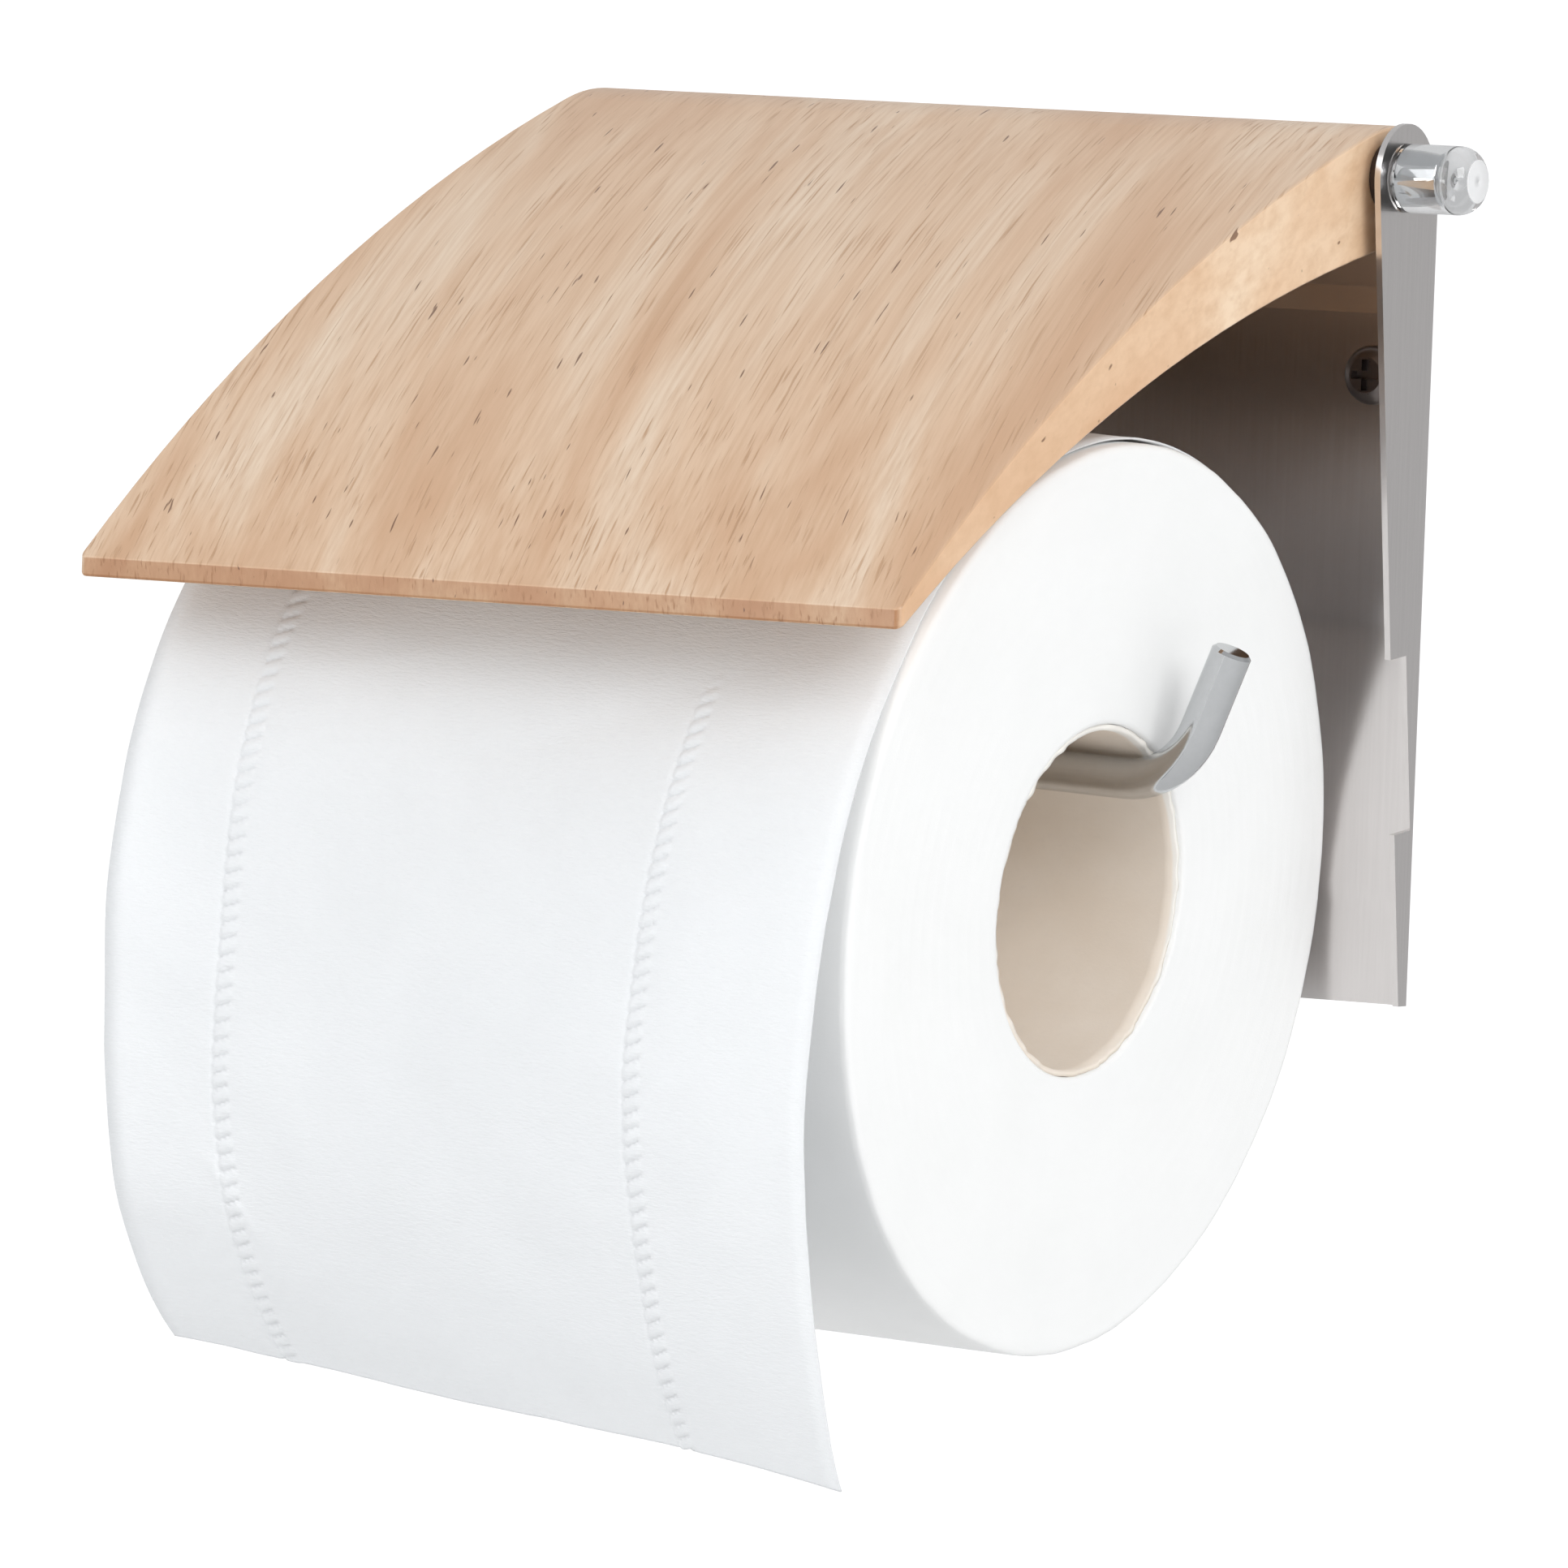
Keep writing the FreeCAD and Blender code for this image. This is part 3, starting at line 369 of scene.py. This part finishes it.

# %% [markdown]
# ## Tissue
#
# Tissue is soft crinkled paper. Close up it has a fine crepe, tiny ridges that run across the web,
# and a few long shallow waves. The wound roll is smoother on its cut ends than the loose sheet is
# on its face. Both are the same paper, but the roll is painted brighter and the loose sheet a little
# darker and bluer: painted light and painted shade for the soft box that lights the roll's end. A
# little light passes through the paper, which subsurface scattering gives, and there is hardly any gloss.

# %% Tissue finishes
def tissue(name, bright, crepe_depth):
    finish = Finish(name)
    crepe = finish.noise(finish.stretch(900, 3200, 3200), detail=3, rough=0.65)
    waves = finish.noise(finish.place, scale=70, detail=3)
    tint = finish.mix(finish.span(waves, 0.3, 0.7), bright, tuple(0.975 * c for c in bright))
    finish.feed(finish.shader, {"Base Color": tint, "Roughness": 0.95, "Specular IOR Level": 0.15,
                                "Subsurface Weight": 0.25, "Subsurface Scale": 0.002,
                                "Subsurface Radius": (1.0, 1.0, 1.0)})
    finish.bump(crepe, crepe_depth, 0.5)
    return finish


# Painted light and shade: one paper in two shades, the roll brighter, the loose sheet darker and bluer.
roll_tissue = tissue("roll_tissue", (0.93, 0.935, 0.93), 0.00005)
sheet_tissue = tissue("sheet_tissue", (0.885, 0.905, 0.925), 0.00022)

# %% [markdown]
# ## The wound roll
#
# Many turns of tissue make a soft drum. Its ends are cut, so they are flat but never quite
# square: they show very faint rings, the outer corner is slightly fuzzy, and the pile leans a
# little, so the end facing us is tipped by about two degrees. The inner edge follows the core.

# %% Wound roll
SOFT_END = 6.0         # how far in from an end its softness reaches
roll_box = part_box("paper_roll")
roll_middle = Vector([(low + high) / 2 for low, high in zip(*roll_box)])
DROOP = math.radians(2.2)
roll_place = Matrix.Translation(roll_middle) @ Matrix.Rotation(DROOP, 4, "Y")
ROLL_RADIUS = 55.0
ROLL_HALF = 50.0
CORE_OUTSIDE = 21.3
END_LEAN = math.tan(math.radians(2.0))


def wave(x, y, z, size, seed):
    """Smooth noise between about -1 and 1; size is the length of a wave."""
    return noise.noise(Vector((x / size + seed * 17.3, y / size - seed * 5.1, z / size)))


def soften_roll(number, along, radius, angle):
    y, z = radius * math.cos(angle), radius * math.sin(angle)
    end = max(0.0, (abs(along) - ROLL_HALF + SOFT_END) / SOFT_END)
    along += END_LEAN * z * max(0.0, along / ROLL_HALF) ** 4
    if radius > ROLL_RADIUS - 2:
        radius += 0.12 * wave(along, y, z, 9, 1) + 0.10 * end * wave(along, y, z, 3, 2)
    if end > 0.8:
        ring = 0.02 * math.sin(radius * 2.4) + 0.015 * math.sin(radius * 5.3 + 1)
        along += math.copysign(ring + 0.12 * wave(0, y, z, 12, 3), along)
    return along, radius


face_radii = [CORE_OUTSIDE + 0.3 + (ROLL_RADIUS - 1.1 - CORE_OUTSIDE) * step / 72 for step in range(73)]
half_profile = [(ROLL_HALF - 0.3, CORE_OUTSIDE)] + [(ROLL_HALF, radius) for radius in face_radii]
half_profile += [(ROLL_HALF - 0.12, ROLL_RADIUS - 0.3), (ROLL_HALF - 0.45, ROLL_RADIUS - 0.05)]
half_profile += [(ROLL_HALF - 1.2, ROLL_RADIUS), (ROLL_HALF - 3, ROLL_RADIUS), (ROLL_HALF - 8, ROLL_RADIUS)]
half_profile += [(along, ROLL_RADIUS) for along in (30, 20, 10)]
profile = half_profile + [(0, ROLL_RADIUS)] + [(-along, radius) for along, radius in reversed(half_profile)]
wound = lathe("wound_tissue", profile, 240, roll_place, soften_roll)
wound.data.materials.append(roll_tissue.material)
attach(wound, "roll")
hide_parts("paper_roll")
print("wound roll:", len(wound.data.polygons), "faces")

# %% [markdown]
# ## The cardboard core
#
# The core is a tube of thin grey-brown board, wound in a spiral. Its ends are torn rather than cut
# clean, so a pale ragged rim shows against the tissue. The spiral seam is a shallow ridge.

# %% Core finish and mesh
card = Finish("core_board")
spots = card.noise(card.place, scale=1500, detail=4, rough=0.7)
cloud = card.noise(card.place, scale=120, detail=3)
board = card.mix(card.span(cloud, 0.3, 0.7), (0.85, 0.76, 0.66), (0.89, 0.81, 0.72))
board = card.mix(card.span(spots, 0.55, 0.75, 0, 0.4), board, (0.82, 0.74, 0.66))
from_middle = card.add("VectorMath", {0: card.place, 1: tuple(roll_middle)},
                       operation="SUBTRACT").outputs[0]
along_axis = card.add("VectorMath", {0: from_middle, 1: (math.cos(DROOP), 0, -math.sin(DROOP))},
                      operation="DOT_PRODUCT").outputs["Value"]
torn = card.span(card.maths("ABSOLUTE", along_axis), 0.0490, 0.0494)
board = card.mix(torn, board, (0.90, 0.87, 0.82))
card.feed(card.shader, {"Base Color": board, "Roughness": 0.9, "Specular IOR Level": 0.2})
card.bump(spots, 0.00005, 0.5)

CORE_BORE = 20.5
CORE_HALF = 49.4
CORE_WALL_FACE = CORE_OUTSIDE - 0.08
SEAM_TURN = 62.0       # length of core for one turn of the seam


def tear_core(number, along, radius, angle):
    y, z = radius * math.cos(angle), radius * math.sin(angle)
    reach = max(0.0, (abs(along) - CORE_HALF + 4) / 4)
    ragged = 0.45 * wave(0, y, z, 2.2, 4) + 0.35 * wave(0, y, z, 6.5, 5)
    along += math.copysign(ragged * reach, along) + END_LEAN * z * max(0.0, along / ROLL_HALF) ** 4
    seam = (angle / (2 * math.pi) - along / SEAM_TURN) % 1.0
    radius += 0.10 * math.exp(-(seam / 0.02) ** 2) + 0.14 * reach * wave(0, y, z, 3.0, 6)
    return along, radius


inner = [(-CORE_HALF + 2 * CORE_HALF * step / 60, CORE_BORE) for step in range(61)]
outer = [(along, CORE_WALL_FACE) for along in (CORE_HALF, 0, -CORE_HALF)]
core = lathe("card_core", inner + outer, 240, roll_place, tear_core)
core.data.materials.append(card.material)
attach(core, "roll")
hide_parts("roll_core")
print("core:", len(core.data.polygons), "faces")

# %% [markdown]
# ## The loose sheet
#
# The outer turn has come away from the roll. It still lies on the roll round the back and over the
# top, leaves it just under the lid, falls down the front and curls back below. We describe its two
# side edges as bends - a radius and the angle it turns through - and blend from one to the other
# across the width, which is how a sheet of paper really behaves: it bends, but doesn't stretch.
# Two lines of pressed rungs hold its plies together. They are real relief, so the grid is finer
# along them, and a few soft creases and waves keep the sheet from looking like metal. No point may
# come closer to the roll than a small gap. The roll droops a little with its arm, but the free part
# of the sheet hangs plumb, so it is moved back sideways as it falls.

# %% Shape of the sheet
WRAP_START = 35.0      # degrees from straight back, round over the top
LEAVES_AT = 120.0
LEFT_BENDS = ((68, 64), (258, 4), (43, 44))
RIGHT_BENDS = ((35, 2), (57, 19), (92, 68))
SHEET_HALF = 50.0
SHEET_CLEAR = ROLL_RADIUS + 0.42
WRAP_GAP = 0.45
WAVES_FROM = 95.0      # millimetres from the start of the sheet, and how gradually they grow
WAVES_OVER = 60.0
HANGS_FROM = 90.0
HANGS_OVER = 60.0
PRESSED_LINES = (-33.5, 26.5)
RUNG_PITCH = 2.0
RUNG_HALF = 1.1


def side_bends(share):
    """Radii and angles between the left edge, share 0, and the right edge, share 1."""
    bends = [(ROLL_RADIUS + WRAP_GAP, LEAVES_AT - WRAP_START)]
    for (radius_left, turn_left), (radius_right, turn_right) in zip(LEFT_BENDS, RIGHT_BENDS):
        bends.append((radius_left + (radius_right - radius_left) * share,
                      turn_left + (turn_right - turn_left) * share))
    return bends


def follow(bends, distance):
    """Walk along the bends: the point and the outward direction there, in the roll's own plane."""
    angle = WRAP_START
    centre = Vector((0, 0))
    last_radius = bends[0][0]
    for number, (radius, sweep) in enumerate(bends):
        spoke = Vector((math.cos(math.radians(angle)), math.sin(math.radians(angle))))
        centre = centre + spoke * (last_radius - radius)
        length = radius * math.radians(sweep)
        if distance <= length or number == len(bends) - 1:
            angle += math.degrees(distance / radius)
            spoke = Vector((math.cos(math.radians(angle)), math.sin(math.radians(angle))))
            return centre + spoke * radius, spoke
        distance -= length
        angle += sweep
        last_radius = radius


def length_of(bends):
    return sum(radius * math.radians(sweep) for radius, sweep in bends)


sheet_length = (length_of(side_bends(0)) + length_of(side_bends(1))) / 2
print("the sheet is %.0f by %.1f mm" % (2 * SHEET_HALF, sheet_length))

# %% Relief of the sheet
CREASES = (((12, 196), (36, 150), 0.16), ((-44, 168), (-20, 205), 0.14), ((34, 118), (47, 139), 0.18),
           ((-14, 150), (8, 126), 0.10), ((-30, 120), (-6, 112), 0.09), ((4, 176), (20, 190), 0.10))


def pressed(across, distance):
    """Height of the pressed rungs, in millimetres."""
    height = 0.0
    for line in PRESSED_LINES:
        aside = (across - line - 0.5 * math.sin(distance / 31.0)) / RUNG_HALF
        if abs(aside) > 2.2:
            continue
        inside = 1 / (1 + math.exp((abs(aside) - 1.0) * 9))
        phase = ((distance + across * 0.46) / RUNG_PITCH + 0.15 * wave(0, distance, 0, 7, 8)) % 1.0
        groove = math.exp(-((phase - 0.5) / 0.13) ** 2)
        height += inside * (0.14 - 0.48 * groove)
        height -= 0.16 * math.exp(-((aside + 1.05) / 0.3) ** 2)
    return height


def relief(across, distance):
    """Waves and creases of the free part, in millimetres."""
    free = min(1.0, max(0.0, (distance - WAVES_FROM) / WAVES_OVER))
    height = free * (0.55 * wave(across, distance, 0, 34, 9) + 0.30 * wave(across, distance, 0, 12, 10))
    height += 0.05 * wave(across, distance, 0, 4.0, 11)
    height += free * 0.07 * wave(across, distance, 0, 6.5, 13)
    for (x0, d0), (x1, d1), depth in CREASES:
        run, rise = x1 - x0, d1 - d0
        share = ((across - x0) * run + (distance - d0) * rise) / (run * run + rise * rise)
        if 0 < share < 1:
            off = abs((across - x0) * rise - (distance - d0) * run) / math.hypot(run, rise)
            height += depth * math.sin(math.pi * share) * math.exp(-(off / 0.9) ** 2)
    return height + pressed(across, distance)


# %% Mesh of the sheet
def columns():
    """Places across the width: coarse, and fine over the pressed lines."""
    places = set(np.linspace(-SHEET_HALF, SHEET_HALF, 45).round(3))
    for line in PRESSED_LINES:
        places = {p for p in places if abs(p - line) > 2.6}
        places.update(np.linspace(line - 2.6, line + 2.6, 21).round(3))
    return sorted(places)


ROW_STEP = 0.36
row_count = int(sheet_length / ROW_STEP)
across_places = columns()
sheet_mesh = bmesh.new()
grid = []
for row in range(row_count + 1):
    line = []
    for across in across_places:
        share = (across + SHEET_HALF) / (2 * SHEET_HALF)
        bends = side_bends(share)
        distance = length_of(bends) * row / row_count
        point, spoke = follow(bends, distance)
        lift = relief(across, distance) - 0.42 * max(0.0, 1 - distance / 9)
        side = across + 0.25 * wave(0, distance, 0, 18, 12) * min(1.0, distance / 90)
        out, up = point.x + spoke.x * lift, point.y + spoke.y * lift
        clear_of_roll = max(1.0, SHEET_CLEAR / math.hypot(out, up))
        out, up = out * clear_of_roll, up * clear_of_roll
        hangs = min(1.0, max(0.0, (distance - HANGS_FROM) / HANGS_OVER))
        local = Vector((side - hangs * up * math.tan(DROOP), out, up)) * MM
        line.append(sheet_mesh.verts.new(roll_place @ local))
    grid.append(line)
for row in range(row_count):
    for column in range(len(across_places) - 1):
        face = sheet_mesh.faces.new((grid[row][column], grid[row][column + 1],
                                     grid[row + 1][column + 1], grid[row + 1][column]))
        face.smooth = True
bmesh.ops.recalc_face_normals(sheet_mesh, faces=sheet_mesh.faces)
mesh = bpy.data.meshes.new("loose_tissue")
sheet_mesh.to_mesh(mesh)
sheet_mesh.free()
loose = bpy.data.objects.new("loose_tissue", mesh)
bpy.context.collection.objects.link(loose)
plies = loose.modifiers.new("plies", "SOLIDIFY")
plies.thickness = 0.25 * MM
plies.offset = 0
loose.data.materials.append(sheet_tissue.material)
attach(loose, "root")
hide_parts("loose_sheet")
print("loose sheet:", len(mesh.polygons), "faces")

# %% [markdown]
# ## Light and background
#
# The background is pure white and the light is soft and even. A bright sky all round does most of
# the work; one large soft box to the right and above makes the end of the roll the brightest face
# and models the sheet, a weaker one fills from the left, and a small low one reaches the sheet
# under the lid. Polished metal only shows what surrounds it, so the sky is darker in two places,
# like the unlit parts of a studio: those darken the polished wire a little and give the plate its
# depth. The floor is far below, and the camera sees it plain white.

# %% Sky
FLOOR_DROP = 0.36
scene = bpy.context.scene
scene.view_settings.view_transform = "Standard"
scene.view_settings.look = "None"
sky = bpy.data.worlds.new("studio")
scene.world = sky
sky.use_nodes = True
nodes, links = sky.node_tree.nodes, sky.node_tree.links
direction = nodes.new("ShaderNodeTexCoord").outputs["Generated"]
SKY_LEVEL = 0.625


def dark_part(towards, inner_edge, outer_edge):
    """1 in the middle of a dark part of the studio, 0 outside it; edges are cosines."""
    aim = Vector(towards).normalized()
    dot = nodes.new("ShaderNodeVectorMath")
    dot.operation = "DOT_PRODUCT"
    links.new(direction, dot.inputs[0])
    dot.inputs[1].default_value = aim
    span = nodes.new("ShaderNodeMapRange")
    span.interpolation_type = "SMOOTHSTEP"
    links.new(dot.outputs["Value"], span.inputs[0])
    span.inputs[1].default_value = outer_edge
    span.inputs[2].default_value = inner_edge
    return span.outputs[0]


level_now = None
for towards, inner_edge, outer_edge, depth in (((0.40, -0.90, 0.02), 0.97, 0.93, 0.95),
                                               ((0.55, 0.83, 0.0), 0.93, 0.80, 0.20)):
    part = dark_part(towards, inner_edge, outer_edge)
    keep = nodes.new("ShaderNodeMath")
    keep.operation = "MULTIPLY_ADD"
    links.new(part, keep.inputs[0])
    keep.inputs[1].default_value = -depth
    keep.inputs[2].default_value = 1.0
    if level_now is None:
        level_now = keep.outputs[0]
    else:
        both = nodes.new("ShaderNodeMath")
        both.operation = "MULTIPLY"
        links.new(level_now, both.inputs[0])
        links.new(keep.outputs[0], both.inputs[1])
        level_now = both.outputs[0]
strength = nodes.new("ShaderNodeMath")
strength.operation = "MULTIPLY"
links.new(level_now, strength.inputs[0])
strength.inputs[1].default_value = SKY_LEVEL
background = nodes["Background"]
links.new(strength.outputs[0], background.inputs["Strength"])
background.inputs["Color"].default_value = (0.985, 0.993, 1.0, 1)

# %% Floor
plate = bmesh.new()
bmesh.ops.create_circle(plate, cap_ends=True, radius=60, segments=96)
floor_mesh = bpy.data.meshes.new("floor")
plate.to_mesh(floor_mesh)
plate.free()
floor = bpy.data.objects.new("floor", floor_mesh)
floor.location = (0, 0, -FLOOR_DROP)
bpy.context.collection.objects.link(floor)
white = Finish("white_floor")
seen = white.add("LightPath").outputs["Is Camera Ray"]
white.feed(white.shader, {"Base Color": (0.85, 0.85, 0.85, 1), "Roughness": 0.9,
                          "Emission Color": (1, 1, 1, 1),
                          "Emission Strength": white.maths("MULTIPLY", seen, 0.6)})
floor.data.materials.append(white.material)

# %% Soft boxes
def soft_box(name, place, size, watts, colour=(1, 1, 1)):
    """A square soft light that faces the holder."""
    lamp = bpy.data.lights.new(name, "AREA")
    lamp.size = size
    lamp.energy = watts
    lamp.color = colour
    light = bpy.data.objects.new(name, lamp)
    light.location = place
    light.rotation_euler = (AIM - Vector(place)).to_track_quat("-Z", "Y").to_euler()
    bpy.context.collection.objects.link(light)


soft_box("key", (1.75, -1.0, 0.95), 1.2, 24.5)
soft_box("fill", (-1.2, -1.9, 0.9), 1.5, 8)
soft_box("low", (-0.7, -1.9, -0.1), 0.45, 5)
print("lights placed")
